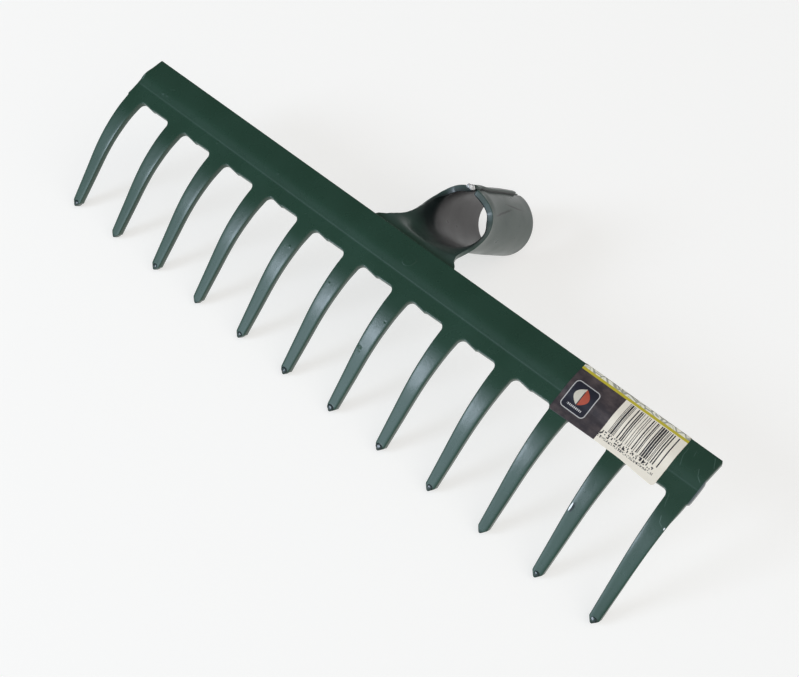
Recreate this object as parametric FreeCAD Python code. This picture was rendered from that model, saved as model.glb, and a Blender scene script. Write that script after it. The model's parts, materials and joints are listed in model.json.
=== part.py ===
"""Bow rake head: a pressed steel tooth comb with a rolled handle socket welded under its back edge.

The head is drawn in a flat drawing frame and then laid down the way it rests on a table.
Drawing frame, millimetres: X runs along the bar, y from the tooth tips to the back edge of the
bar, z up from the line through the tips.  The part's own frame has +Z up from the table, X along
the bar, and its origin under the middle of the resting head.
"""
import FreeCAD, Part
import math
import os

V = FreeCAD.Vector

# ---- pressed head -------------------------------------------------------------------------
tine_count = 12
tine_pitch = 30.0
bar_length = 340.4
head_sheet = 3.0                # steel thickness of the pressing
root_y = 63.0                   # front edge of the bar, where the gaps end
back_y = 85.0                   # back edge of the bar
root_z = 7.3
root_slope = 0.235              # fall of the upper face towards the back, at the root line
# Upper face of the bar from the back edge to the root: steep flange, crest, then a gentle rise.
bar_face = [(back_y, 0.0), (80.6, 2.25), (76.6, 4.2), (72.6, 5.4), (69.3, 5.9), (66.0, 6.6),
            (root_y, root_z)]
# Upper face of a tine from the root over its shoulder; from the last point it is straight.
tine_face = [(root_y, root_z), (58.0, 8.4), (52.0, 9.35), (42.0, 9.35), (31.0, 7.75)]
tine_root_half = 4.7
tine_tip_half = 2.5
tip_chisel = 2.5                # length of the pointed end
tip_flat = 0.5                  # half width left at the very point
gap_corner = 2.75               # radius of the gap corners
bar_corner = 2.0                # radius of the back corners of the bar

# ---- rolled handle socket -----------------------------------------------------------------
handle_diameter = 28.0
socket_sheet = 2.0
bore_depth = 30.0               # straight part of the bore, from the mouth
tube_length = 49.0              # closed part of the socket, from the mouth
throat_taper = 1.2              # loss of radius from the end of the straight bore to the throat
mouth_y = 115.4                 # centre of the mouth in the drawing frame
mouth_z = -77.6
socket_lean = math.radians(12.9)        # lean of the socket axis from the drawing's z axis
lip_lift_angle = -32.0          # degrees from the seam line at which the lapped lip lifts off
lip_full_angle = -10.0          # degrees at which it lies on top of the other edge
lip_end_angle = 5.0             # degrees at which it ends
lip_cut = 7.0                   # the lapped lip stops this far inside the mouth
neck_half = 24.8                # half width of the neck at the bar
neck_reach = 0.62               # share of the bar's depth that the neck reaches under it
neck_turn = 3.6                 # tangent length of the bend that takes the neck under the bar
# Open trough of the neck: distance from the tube, half width and rise of its edges.
trough = [(0.0, 12.8, 19.0), (4.0, 16.2, 14.6), (9.0, 17.4, 9.4), (14.0, 17.7, 6.6),
          (19.0, 18.2, 4.8)]
# The bend: share of its turn, half width and rise.
bend = [(0.0, 20.2, 2.6), (0.5, 22.6, 1.3), (1.0, neck_half, 0.06)]

# ---- welds and label ----------------------------------------------------------------------
spot_x = 6.9
spot_y = 77.1
spot_radius = 3.8
spot_rise = 0.3
bead_leg = 2.2
bead_half_length = 19.0
seam_bead = (2.5, 1.8, 3.2)     # half sizes of the weld blob at the throat: across, out, along
seam_bead_x = -1.3
seam_bead_rise = 1.5            # height of its centre over the throat's outside
seam_bead_back = 2.6            # its centre is this far past the end of the tube
label_left = 99.4
label_right = 154.0
label_tuck = 12.0               # reach of the label under the bar
label_paper = 0.3


def curve_through(points, first=None, last=None):
    """Smooth curve through points, with optional end directions."""
    curve = Part.BSplineCurve()
    if first is None:
        curve.interpolate(Points=points)
    else:
        curve.interpolate(Points=points, InitialTangent=first, FinalTangent=last)
    return curve


def profile_curve(points, first, last):
    """Side profile in the y-z plane from (y, z) pairs and two end directions."""
    nodes = [V(0, y, z) for y, z in points]
    return curve_through(nodes, V(0, *first), V(0, *last))


root_direction = (-1.0, root_slope)
bar_curve = profile_curve(bar_face, (-0.87, 0.49), root_direction)
tine_fall = (-tine_face[-1][0], -tine_face[-1][1])
tine_curve = profile_curve(tine_face, root_direction, tine_fall)


def below(curve, depth, steps=24, first=0.0, last=1.0):
    """Points at a depth under a profile curve, measured square to it."""
    low, high = curve.FirstParameter, curve.LastParameter
    points = []
    for step in range(steps + 1):
        place = low + (high - low) * (first + (last - first) * step / steps)
        along = curve.tangent(place)[0]
        points.append(curve.value(place) + V(0, along.z, -along.y) * -depth)
    return points


def parameter_at(curve, y):
    """Fraction of a profile curve at which it passes a given y."""
    low, high = curve.FirstParameter, curve.LastParameter
    start, end = 0.0, 1.0
    for _ in range(40):
        middle = (start + end) / 2
        if curve.value(low + (high - low) * middle).y > y:
            start = middle
        else:
            end = middle
    return start


def band(upper, lower, half_width):
    """Slab between two rows of profile points, as wide as twice half_width along X."""
    edges = [curve_through(upper).toShape(), Part.makeLine(upper[-1], lower[-1]),
             curve_through(lower[::-1]).toShape(), Part.makeLine(lower[0], upper[0])]
    face = Part.Face(Part.Wire(edges))
    face.translate(V(-half_width, 0, 0))
    return face.extrude(V(2 * half_width, 0, 0))


def upright(outline, low=-20.0, high=25.0):
    """Tall prism over a flat closed outline in the X-y plane."""
    face = Part.Face(Part.Wire(outline))
    face.translate(V(0, 0, low))
    return face.extrude(V(0, 0, high - low))


def make_bar():
    slab = band(below(bar_curve, 0), below(bar_curve, head_sheet), bar_length / 2)
    plan = Part.makeBox(bar_length, 60, 60, V(-bar_length / 2, root_y - 25, -25))
    corners = [edge for edge in plan.Edges
               if abs(edge.tangentAt(edge.FirstParameter).z) > 0.9 and edge.CenterOfMass.y > back_y]
    plan = plan.makeFillet(bar_corner, corners)
    plan.translate(V(0, back_y - (root_y + 35), 0))
    return slab.common(plan)


def tine_half(y):
    """Half width of a tine at a distance y from the tips."""
    share = (y - tip_chisel) / (root_y - tip_chisel)
    return tine_tip_half + (tine_root_half - tine_tip_half) * share


def tine_outline(centre, has_left_gap, has_right_gap):
    """Plan outline of one tine, with a rounded corner on each side that faces a gap."""
    overlap = 6.0
    corner_y = root_y - gap_corner

    def side(sign, has_gap):
        inner = V(centre + sign * tine_half(corner_y), corner_y, 0)
        chisel = V(centre + sign * tine_tip_half, tip_chisel, 0)
        straight = Part.makeLine(chisel, inner)
        if has_gap:
            middle_x = inner.x + sign * gap_corner * (1 - math.sqrt(0.5))
            middle = V(middle_x, corner_y + gap_corner * math.sqrt(0.5), 0)
            outer = V(inner.x + sign * gap_corner, root_y, 0)
            round_corner = Part.Arc(inner, middle, outer).toShape()
        else:
            outer = V(centre + sign * tine_half(root_y), root_y, 0)
            round_corner = Part.makeLine(inner, outer)
        top = V(outer.x, root_y + overlap, 0)
        return chisel, [straight, round_corner, Part.makeLine(outer, top)], top

    left_chisel, left_edges, left_top = side(-1, has_left_gap)
    right_chisel, right_edges, right_top = side(1, has_right_gap)
    left_point = V(centre - tip_flat, 0, 0)
    right_point = V(centre + tip_flat, 0, 0)
    edges = left_edges + [Part.makeLine(left_top, right_top)] + right_edges[::-1]
    edges += [Part.makeLine(right_chisel, right_point), Part.makeLine(right_point, left_point),
              Part.makeLine(left_point, left_chisel)]
    return edges


def make_tines():
    """The twelve tines, left to right, as separate solids that meet the bar at the root line."""
    tip = V(0, 0, 0)
    straight = tip - V(0, *tine_face[-1])
    straight.normalize()
    drop = V(0, straight.z, -straight.y) * -head_sheet
    upper = below(tine_curve, 0)
    lower = below(tine_curve, head_sheet)
    shoulder = band(upper, lower, bar_length)
    blade_corners = [upper[-1], tip, tip + drop, lower[-1], upper[-1]]
    blade_face = Part.Face(Part.makePolygon(blade_corners))
    blade_face.translate(V(-bar_length, 0, 0))
    side_view = shoulder.fuse(blade_face.extrude(V(2 * bar_length, 0, 0)))
    tines = []
    for index in range(tine_count):
        centre = (index - (tine_count - 1) / 2) * tine_pitch
        outline = tine_outline(centre, index > 0, index < tine_count - 1)
        tines.append(upright(outline).common(side_view).removeSplitter())
    return tines, tip + drop


socket_back = V(0, -math.sin(socket_lean), math.cos(socket_lean))       # mouth towards the bar
socket_up = V(0, math.cos(socket_lean), math.sin(socket_lean))          # towards the seam
across = V(1, 0, 0)
mouth = V(0, mouth_y, mouth_z)
bore_radius = handle_diameter / 2
tube_radius = bore_radius + socket_sheet
throat_radius = tube_radius - throat_taper


def tube_between(back_a, loss_a, back_b, loss_b):
    """Length of round tube between two distances from the mouth, with a loss of radius at each."""
    def ring(back, radius):
        return Part.Wire(Part.Circle(mouth + socket_back * back, socket_back, radius).toShape())

    outside = Part.makeLoft([ring(back_a, tube_radius - loss_a), ring(back_b, tube_radius - loss_b)], True)
    inside = Part.makeLoft([ring(back_a, bore_radius - loss_a), ring(back_b, bore_radius - loss_b)], True)
    return outside.cut(inside)


def lip_section(back, loss):
    """Section of the lapped lip that lies on the tube beside its seam."""
    centre = mouth + socket_back * back
    sunk = 0.4

    def at(lift, degrees):
        angle = math.radians(degrees)
        radius = tube_radius - loss + lift
        return centre + across * (radius * math.sin(angle)) + socket_up * (radius * math.cos(angle))

    def arc(lift_a, angle_a, lift_b, angle_b):
        middle = at((lift_a + lift_b) / 2, (angle_a + angle_b) / 2)
        return Part.Arc(at(lift_a, angle_a), middle, at(lift_b, angle_b)).toShape()

    return Part.Wire([arc(0, lip_lift_angle, socket_sheet, lip_full_angle),
                      arc(socket_sheet, lip_full_angle, socket_sheet, lip_end_angle),
                      Part.makeLine(at(socket_sheet, lip_end_angle), at(-sunk, lip_end_angle)),
                      arc(-sunk, lip_end_angle, -sunk, lip_lift_angle),
                      Part.makeLine(at(-sunk, lip_lift_angle), at(0, lip_lift_angle))])


def make_tube():
    """Closed part of the socket: straight bore, throat, and the lapped lip of the rolled sheet."""
    straight = tube_between(0, 0, bore_depth, 0)
    throat = tube_between(bore_depth, 0, tube_length, throat_taper)
    lip = Part.makeLoft([lip_section(lip_cut, 0), lip_section(bore_depth, 0)], True)
    throat_lip = Part.makeLoft([lip_section(bore_depth, 0), lip_section(tube_length, throat_taper)], True)
    return straight.multiFuse([throat, lip, throat_lip]).removeSplitter()


def trough_section(foot, heading, half, rise):
    """Curved strip of sheet square to a heading, with its middle at foot and its edges raised."""
    inward = heading.cross(across)
    radius = (half * half + rise * rise) / (2 * rise)
    spread = 2 * math.atan2(rise, half)
    centre = foot + inward * radius

    def at(offset, angle):
        reach = radius + offset
        return centre + across * (reach * math.sin(angle)) - inward * (reach * math.cos(angle))

    half_sheet = socket_sheet / 2
    outside = Part.Arc(at(half_sheet, -spread), at(half_sheet, 0), at(half_sheet, spread)).toShape()
    inside = Part.Arc(at(-half_sheet, spread), at(-half_sheet, 0), at(-half_sheet, -spread)).toShape()
    return Part.Wire([outside, Part.makeLine(at(half_sheet, spread), at(-half_sheet, spread)), inside,
                      Part.makeLine(at(-half_sheet, -spread), at(half_sheet, -spread))])


def make_neck():
    """Spoon-shaped neck: a trough that flares from the tube and runs under the bar's flange."""
    start = mouth + socket_back * tube_length - socket_up * (throat_radius - socket_sheet / 2)
    under = below(bar_curve, head_sheet + socket_sheet / 2)
    end = under[0]
    end_heading = bar_curve.tangent(bar_curve.FirstParameter)[0]
    knee = end - end_heading * neck_turn
    heading = (knee - start).normalize()
    turn = heading.getAngle(end_heading)
    turn_radius = neck_turn / math.tan(turn / 2)
    bend_start = knee - heading * neck_turn
    pivot = bend_start - heading.cross(across) * turn_radius
    # The first section is square to the tube, so that the two meet face to face.
    straight = [trough_section(start, socket_back, trough[0][1], trough[0][2])]
    for far, half, rise in trough[1:]:
        straight.append(trough_section(start + heading * far, heading, half, rise))
    turning = []
    for share, half, rise in bend:
        turned = FreeCAD.Rotation(across, math.degrees(turn * share)).multVec(heading)
        foot = pivot + turned.cross(across) * turn_radius
        turning.append(trough_section(foot, turned, half, rise))
    spoon = Part.makeLoft(straight + turning[:1], True).fuse(Part.makeLoft(turning, True))
    tongue = band(below(bar_curve, head_sheet, last=neck_reach),
                  below(bar_curve, head_sheet + socket_sheet, last=neck_reach), neck_half)
    return spoon, tongue


def make_spot_weld():
    """Round weld that pins the neck to the flange; its top shows as a low disc on the bar."""
    place = parameter_at(bar_curve, spot_y)
    foot = below(bar_curve, head_sheet + socket_sheet, steps=1, first=place, last=place)[0]
    top = below(bar_curve, -spot_rise, steps=1, first=place, last=place)[0]
    rise = top - foot
    return Part.makeCylinder(spot_radius, rise.Length, foot + across * spot_x, rise)


def make_neck_bead():
    """Fillet weld under the bar, along the front end of the neck."""
    corner = below(bar_curve, head_sheet, last=neck_reach)[-1]
    foot = below(bar_curve, head_sheet + bead_leg, last=neck_reach)[-1]
    ahead = below(bar_curve, head_sheet, last=neck_reach + bead_leg / (back_y - root_y))[-1]
    face = Part.Face(Part.makePolygon([corner, foot, ahead, corner]))
    face.translate(across * -bead_half_length)
    return face.extrude(across * (2 * bead_half_length))


def make_seam_weld():
    """Blob of weld metal that closes the seam at its throat end."""
    blob = Part.makeSphere(1.0)
    scale = FreeCAD.Matrix()
    scale.scale(*seam_bead)
    blob = blob.transformGeometry(scale)
    blob.rotate(V(0, 0, 0), across, math.degrees(socket_lean))
    blob.translate(mouth + socket_back * (tube_length + seam_bead_back)
                   + socket_up * (throat_radius + seam_bead_rise) + across * seam_bead_x)
    return blob


def make_label():
    """Paper label wrapped round the bar: over its upper face, round the back edge, and under it."""
    middle = (label_left + label_right) / 2
    half = (label_right - label_left) / 2
    inner = below(bar_curve, 0)
    outer = below(bar_curve, -label_paper)
    upper = band(outer, inner, half)
    tuck = label_tuck / (back_y - root_y)
    low_inner = below(bar_curve, head_sheet, last=tuck)
    low_outer = below(bar_curve, head_sheet + label_paper, last=tuck)
    lower = band(low_inner, low_outer, half)
    out = bar_curve.tangent(bar_curve.FirstParameter)[0] * -label_paper
    fold_outline = [inner[0], outer[0], outer[0] + out, low_outer[0] + out, low_outer[0], low_inner[0],
                    inner[0]]
    fold_face = Part.Face(Part.makePolygon(fold_outline))
    fold_face.translate(across * -half)
    fold = fold_face.extrude(across * (2 * half))
    label = upper.multiFuse([fold, lower]).removeSplitter()
    label.translate(across * middle)
    return label


def make_pieces():
    """All pieces in the drawing frame, by node name, and the lowest corner of a tine's tip."""
    tines, tip_foot = make_tines()
    spot = make_spot_weld()
    bar = make_bar().cut(spot)
    tube = make_tube()
    spoon, tongue = make_neck()
    neck = spoon.fuse(tongue.cut(spot))
    pieces = {"head_bar": bar, "socket_tube": tube, "socket_neck": neck, "spot_weld": spot,
              "neck_weld": make_neck_bead().cut(bar.fuse(neck)).cut(spot),
              "seam_weld": make_seam_weld().cut(tube.fuse(neck)),
              "paper_label": make_label()}
    for number, tine in enumerate(tines, start=1):
        pieces[f"tine_{number:02d}"] = tine
    return pieces, tip_foot


def lay_down(pieces, tip_foot):
    """Turn the head about X until the tips and the mouth's rim share a level, and centre it."""
    rim_foot = mouth - socket_up * tube_radius
    reach = rim_foot - tip_foot
    rest_angle = -math.degrees(math.atan2(reach.z, reach.y))
    for shape in pieces.values():
        shape.rotate(V(0, 0, 0), across, rest_angle)
    whole = Part.makeCompound(list(pieces.values())).BoundBox
    shift = V(0, -(whole.YMin + whole.YMax) / 2, -whole.ZMin)
    for shape in pieces.values():
        shape.translate(shift)
    return rest_angle, shift


def main():
    pieces, tip_foot = make_pieces()
    rest_angle, shift = lay_down(pieces, tip_foot)
    turn = FreeCAD.Rotation(across, rest_angle)
    print("rest angle", round(rest_angle, 3), "shift", shift)
    print("mouth", turn.multVec(mouth) + shift, "axis", turn.multVec(socket_back * -1))
    os.makedirs("parts", exist_ok=True)
    for name, shape in pieces.items():
        print(name, shape.isValid(), len(shape.Solids), round(shape.Volume, 1))
        shape.exportStep(f"parts/{name}.step")


if __name__ == "__main__":
    main()
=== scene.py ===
"""Looks of the bow rake head: a dip-painted steel pressing, its rolled socket, welds and a paper label.

Shapes are drawn in millimetres in the CAD model's drawing frame: X along the bar, y from the tine
tips to the back edge of the bar, z up from the line through the tips.  lay() turns that frame down
onto the table and into metres.
"""

import json
import math
import random

import bpy
import numpy as np
from mathutils import Matrix, Vector
from mathutils.geometry import delaunay_2d_cdt


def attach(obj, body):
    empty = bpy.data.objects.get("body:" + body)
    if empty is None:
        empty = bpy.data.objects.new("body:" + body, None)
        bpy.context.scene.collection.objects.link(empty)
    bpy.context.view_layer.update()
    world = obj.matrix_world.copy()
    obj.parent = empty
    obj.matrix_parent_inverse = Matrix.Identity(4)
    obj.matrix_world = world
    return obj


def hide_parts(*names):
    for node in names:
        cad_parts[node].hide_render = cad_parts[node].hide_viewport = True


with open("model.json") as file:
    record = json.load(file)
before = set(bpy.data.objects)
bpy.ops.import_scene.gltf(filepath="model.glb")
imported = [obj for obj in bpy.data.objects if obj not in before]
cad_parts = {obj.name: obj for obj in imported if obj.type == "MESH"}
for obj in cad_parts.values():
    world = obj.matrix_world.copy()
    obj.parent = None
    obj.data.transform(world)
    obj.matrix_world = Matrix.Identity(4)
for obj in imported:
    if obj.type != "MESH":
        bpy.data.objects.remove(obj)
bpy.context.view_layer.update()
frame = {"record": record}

MM = 0.001

# ---- driving dimensions, millimetres, as in the CAD model ----
TINES = 12
PITCH = 30.0
BAR_HALF = 170.2
HEAD_SHEET = 3.0
ROOT_Y = 63.0
BACK_Y = 85.0
TINE_ROOT_HALF = 4.7
TINE_TIP_HALF = 2.5
CHISEL = 2.5
TIP_Y = -0.37                   # the very point of a tine, in front of the line through the tips
GAP_CORNER = 2.75
# Upper face of the head, (y, z): flange, crest, rise to the root, shoulder, then straight to the tip.
HEAD_FACE = [
    (85.0, 0.0), (82.4, 1.32), (80.0, 2.56), (77.2, 3.94), (75.0, 4.83), (72.6, 5.36), (69.8, 5.77),
    (66.0, 6.58), (63.0, 7.29), (58.0, 8.42), (55.0, 8.98), (52.0, 9.33), (47.0, 9.5), (42.0, 9.35),
    (31.0, 7.75), (20.0, 5.0), (10.0, 2.5), (0.0, 0.0),
]
CREASE_Y = 69.7
CREASE_STEP = 0.07
CROWN = 0.12                    # fall of a tine's flat face to its sides, over the last EDGE_FALL
EDGE_FALL = 0.9

SOCKET_SHEET = 2.0
SOCKET_LEAN = math.radians(12.9)
MOUTH = np.array([0.0, 115.4, -77.6])
MOUNT_DEPTH = 15.0              # the handle mount's place is this far inside the mouth
BORE_RADIUS = 14.0
LAP_LIFT = 1.73                 # rise of the lapped lip over the other edge of the sheet
RIM_SWELL = 1.1                 # extra thickness of the throat's cut edge
SEAM_FLARE = 0.36               # how far the sheet's two ends stand out of round at the mouth
LIP_CUT = 6.6                   # the lapped lip stops this far inside the mouth
THROAT = 49.0                   # distance from the mouth at which the neck's path begins
NECK_TURN = 3.6                 # length on each side of the knee that the bend takes
NECK_REACH = 13.6               # how far the neck runs under the bar from its back edge
NECK_HALF = 24.8
SOCKET_ROUND = 0.22             # radius of the socket sheet's edges

SPOT_X, SPOT_Y = 6.9, 77.1
SPOT_RADIUS = 3.8
SPOT_DEPTH = 1.6
THROAT_WELD = (-1.3, 51.6, 16.3)    # place across, distance from the mouth, height over the axis
THROAT_WELD_SIZES = (2.0, 2.7, 1.3)
BEAD_HALF = 18.6                # half length of the weld under the bar
BEAD_RADIUS = 1.15
HEAD_ROUND = 0.35               # radius of the pressing's edges
LABEL_LEFT, LABEL_RIGHT = 100.0, 154.4
LABEL_FRONT = 62.1
LABEL_TUCK = 12.0               # how far the label runs back under the bar
LABEL_LEVELS = (0.17, 0.03)     # its two faces, over the paint
LABEL_ROUND = 0.04
LABEL_BORDER = 0.12
# Print of the label: x along the bar, w over its face from its front edge.
PANEL_RIGHT = 123.5
BADGE_X, BADGE_W = 108.5, 9.7
CODE_LEFT, CODE_RIGHT = 125.9, 151.3
CODE_FRONT, CODE_BACK = 5.4, 21.0
CODE_MODULE = 0.262
STRIPE_W = 22.6                 # front of the ornament strip, and back of the yellow stripe
STRIPE_WIDTH = 1.25

across = np.array([1.0, 0.0, 0.0])
socket_back = np.array([0.0, -math.sin(SOCKET_LEAN), math.cos(SOCKET_LEAN)])
socket_up = np.array([0.0, math.cos(SOCKET_LEAN), math.sin(SOCKET_LEAN)])

# ---- from the drawing frame to the table ----
mount = next(m for m in frame["record"]["mounts"] if m["name"] == "handle_socket")
mount_axis = np.array(mount["axis"])
rest_angle = math.atan2(mount_axis[2], mount_axis[1]) - math.atan2(-socket_back[2], -socket_back[1])
rest_cos, rest_sin = math.cos(rest_angle), math.sin(rest_angle)
rest_turn = np.array([[1, 0, 0], [0, rest_cos, -rest_sin], [0, rest_sin, rest_cos]])
rest_shift = np.array(mount["pos_m"]) / MM + MOUNT_DEPTH * mount_axis - rest_turn @ MOUTH


def lay(points):
    """Drawing-frame points in millimetres to the shared frame in metres."""
    return (np.asarray(points) @ rest_turn.T + rest_shift) * MM


# ---- curves ----
def smooth_line(knots):
    """Natural cubic spline through (place, value) pairs, as a function of arrays."""
    x, v = np.array(sorted(knots)).T
    h = np.diff(x)
    n = len(x)
    system, right = np.eye(n), np.zeros(n)
    for i in range(1, n - 1):
        system[i, i - 1:i + 2] = h[i - 1], 2 * (h[i - 1] + h[i]), h[i]
        right[i] = 6 * ((v[i + 1] - v[i]) / h[i] - (v[i] - v[i - 1]) / h[i - 1])
    bend = np.linalg.solve(system, right)

    def value(t):
        """Value of the spline at t."""
        t = np.asarray(t, float)
        i = np.clip(np.searchsorted(x, t) - 1, 0, n - 2)
        s = t - x[i]
        slope = (v[i + 1] - v[i]) / h[i] - h[i] * (2 * bend[i] + bend[i + 1]) / 6
        return v[i] + s * (slope + s * (bend[i] / 2 + s * (bend[i + 1] - bend[i]) / (6 * h[i])))

    return value


def lengths_along(points):
    """Distance of each point of a path from its first, along the path."""
    return np.concatenate([[0], np.cumsum(np.linalg.norm(np.diff(points, axis=0), axis=1))])


def along_path(place, length, points):
    """Points of a path at given distances along it."""
    return np.stack([np.interp(place, length, points[:, k]) for k in range(3)], 1)


def ease(t):
    """Smooth step from 0 at t = 0 to 1 at t = 1."""
    t = np.clip(t, 0.0, 1.0)
    return t * t * (3 - 2 * t)


def rounded_corner(here, before, after, radius):
    """Points of the arc that rounds one corner; before and after are unit vectors to its neighbours."""
    opening = math.acos(np.clip(before @ after, -1, 1))
    turn = math.pi - opening
    if radius <= 0 or turn < 0.02:
        return [here]
    bisector = (before + after) / np.linalg.norm(before + after)
    centre = here + bisector * radius / math.sin(opening / 2)
    start = here + before * radius * math.tan(turn / 2) - centre
    square = np.array([-start[1], start[0]])
    pieces = max(2, int(math.ceil(turn / math.radians(13))))
    angles = -np.sign(square @ before) * turn * np.arange(pieces + 1) / pieces
    return [centre + start * math.cos(angle) + square * math.sin(angle) for angle in angles]


def rounded_loop(corners, step):
    """Closed loop of flat points through (x, y, radius) corners, rounded and evenly divided."""
    places = np.array([corner[:2] for corner in corners], float)
    count = len(corners)
    points = []
    for i, corner in enumerate(corners):
        before, after = places[i - 1] - places[i], places[(i + 1) % count] - places[i]
        points += rounded_corner(places[i], before / np.linalg.norm(before),
                                 after / np.linalg.norm(after), corner[2])
    loop = []
    for a, b in zip(points, points[1:] + points[:1]):
        length = np.linalg.norm(b - a)
        if length < 1e-6:
            continue
        pieces = max(1, int(math.ceil(length / step)))
        loop += [a + (b - a) * k / pieces for k in range(pieces)]
    return np.array(loop)


def inside_by(points, loop, margin):
    """Which flat points lie inside a closed loop, at least margin from it."""
    a, b = loop, np.roll(loop, -1, axis=0)
    keep = np.zeros(len(points), bool)
    for first in range(0, len(points), 500):
        p = points[first:first + 500, None, :]
        crosses = (a[None, :, 1] > p[..., 1]) != (b[None, :, 1] > p[..., 1])
        with np.errstate(divide="ignore", invalid="ignore"):
            share = (p[..., 1] - a[None, :, 1]) / (b - a)[None, :, 1]
            at_x = a[None, :, 0] + share * (b - a)[None, :, 0]
        odd = (crosses & (p[..., 0] < at_x)).sum(1) % 2 == 1
        edge = (b - a)[None]
        share = np.clip(((p - a[None]) * edge).sum(-1) / (edge ** 2).sum(-1), 0, 1)
        near = np.linalg.norm(p - (a[None] + share[..., None] * edge), axis=-1).min(1)
        keep[first:first + 500] = odd & (near > margin)
    return points[keep]


# ---- sheet metal ----
def new_mesh(name, points, faces, material):
    """Mesh object from drawing-frame points, smooth shaded, riding on the rake."""
    mesh = bpy.data.meshes.new(name)
    mesh.from_pydata(lay(points).tolist(), [], faces)
    mesh.validate()
    mesh.shade_smooth()
    piece = bpy.data.objects.new(name, mesh)
    bpy.context.scene.collection.objects.link(piece)
    piece.data.materials.append(material)
    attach(piece, "root")
    return piece


def edge_rings(loop, rounding, rings, hold):
    """Flat rings that step inwards over a rounded edge, and how far below the face each one lies."""
    along = np.roll(loop, -1, axis=0) - np.roll(loop, 1, axis=0)
    inward = np.stack([-along[:, 1], along[:, 0]], 1) / np.linalg.norm(along, axis=1)[:, None]
    turns = [math.pi / 2 * k / rings for k in range(rings + 1)]
    insets = [rounding * (1 - math.cos(t)) for t in turns]
    falls = [rounding * (1 - math.sin(t)) for t in turns]
    if hold:
        insets.append(rounding + hold)
        falls.append(0.0)
    return [loop + inward * inset for inset in insets], falls


def fill_triangles(flat, size, base):
    """Triangles inside the innermost ring, which has size points from base on; the rest lie in it."""
    coords = [Vector(p) for p in flat[base:]]
    cut = delaunay_2d_cdt(coords, [], [list(range(size))], 1, 1e-5)
    names = [origin[0] + base for origin in cut[3]]
    return [[names[v] for v in face] for face in cut[2]]


def shape_normals(shape, flat):
    """Unit normals of a shape at flat points."""
    tiny = 0.02
    sideways = shape(flat + [tiny, 0]) - shape(flat - [tiny, 0])
    lengthways = shape(flat + [0, tiny]) - shape(flat - [0, tiny])
    normal = np.cross(sideways, lengthways)
    return normal / np.linalg.norm(normal, axis=1)[:, None]


def ring_quads(first, last, size):
    """Faces between rings of points; first and last number the first points of the end rings."""
    return [[start + j, start + (j + 1) % size, start + size + (j + 1) % size, start + size + j]
            for start in range(first, last, size) for j in range(size)]


def sheet_faces(size, steps, triangles, count):
    """Faces of both sides and of the edge between them; lower points are numbered from count on."""
    faces = []
    for face in ring_quads(0, steps * size, size) + triangles:
        faces += [face, [v + count for v in reversed(face)]]
    return faces + [[i, i + count, (i + 1) % size + count, (i + 1) % size] for i in range(size)]


def mark_sheet(piece, flat):
    """Store every point's place on the flat sheet, and which of the two sides it is on."""
    uv = piece.data.uv_layers.new(name="flat")
    both = np.concatenate([flat, flat])
    for corner, loop_item in enumerate(piece.data.loops):
        uv.data[corner].uv = both[loop_item.vertex_index]
    upper_side = piece.data.attributes.new("upper", "FLOAT", "POINT")
    upper_side.data.foreach_set("value", [1.0] * len(flat) + [0.0] * len(flat))


def pressed_sheet(name, material, loop, lattice, shape, levels, rounding, rings=4, swell=None, hold=0.0):
    """Closed sheet of metal or paper.

    loop is its flat outline, anticlockwise; lattice holds flat points to fill it with; shape turns
    flat points into drawing-frame points; levels are its upper and lower faces along the surface
    normal; rounding is the radius of its edges; swell gives the extra thickness of its lower side.
    hold is the width of a flat border that keeps the shading of a thin edge off the face.
    """
    flat_rings, falls = edge_rings(loop, rounding, rings, hold)
    filling = inside_by(lattice, flat_rings[-1], 0.35)
    flat = np.concatenate(flat_rings + [filling])
    drops = np.concatenate([np.repeat(falls, len(loop)), np.zeros(len(filling))])
    size, steps = len(loop), len(flat_rings) - 1
    triangles = fill_triangles(flat, size, steps * size)

    middle, normal = shape(flat), shape_normals(shape, flat)
    extra = swell(flat) if swell else 0.0
    upper = middle + normal * (levels[0] - drops)[:, None]
    lower = middle + normal * (levels[1] + drops - extra)[:, None]
    faces = sheet_faces(size, steps, triangles, len(flat))
    piece = new_mesh(name, np.concatenate([upper, lower]), faces, material)
    mark_sheet(piece, flat)
    return piece


# ---- the pressed head ----
head_height = smooth_line(HEAD_FACE)

# Blisters and runs in the paint: x, y, radius, rise.
PAINT_LUMPS = [
    (13.4, 32.9, 0.8, 0.30), (13.9, 31.3, 0.5, 0.14), (132.5, 34.6, 0.7, 0.15),
    (132.3, 33.2, 0.6, 0.12), (-153.6, 72.5, 0.6, 0.15), (-151.0, 72.8, 0.5, 0.12),
    (-110.8, 68.6, 0.5, 0.15), (-73.5, 73.9, 0.5, 0.12), (1.8, 81.5, 0.5, 0.15), (15.4, 2.2, 0.9, 0.4),
    (-14.8, 2.0, 0.8, 0.25), (45.3, 2.4, 0.8, 0.35), (164.6, 1.4, 1.2, 0.25), (-44.0, 50.0, 0.4, 0.15),
    (-16.6, 47.5, 0.35, 0.15), (17.2, 48.6, 0.35, -0.12),
]

# Drops of paint that dried at the tips: x, half size.
PAINT_DROPS = [
    (-164.8, 0.85), (-104.9, 0.8), (-44.8, 0.85), (-15.0, 1.05), (15.0, 1.1), (45.1, 1.1), (75.2, 0.9),
    (135.3, 0.85), (165.3, 0.95),
]
DROP_Y = 2.5


def face_height(y):
    """Height of the head's upper face over the line through the tips."""
    step = CREASE_STEP * (ease((CREASE_Y + 0.3 - y) / 0.6) - ease((CREASE_Y - y) / 2.6))
    return head_height(y) - step


def tine_half(y):
    """Half width of a tine, which tapers evenly from its root to its chisel."""
    return TINE_TIP_HALF + (TINE_ROOT_HALF - TINE_TIP_HALF) * (y - CHISEL) / (ROOT_Y - CHISEL)


def tine_centre(index):
    """Place of a tine along the bar."""
    return (index - (TINES - 1) / 2) * PITCH


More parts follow.
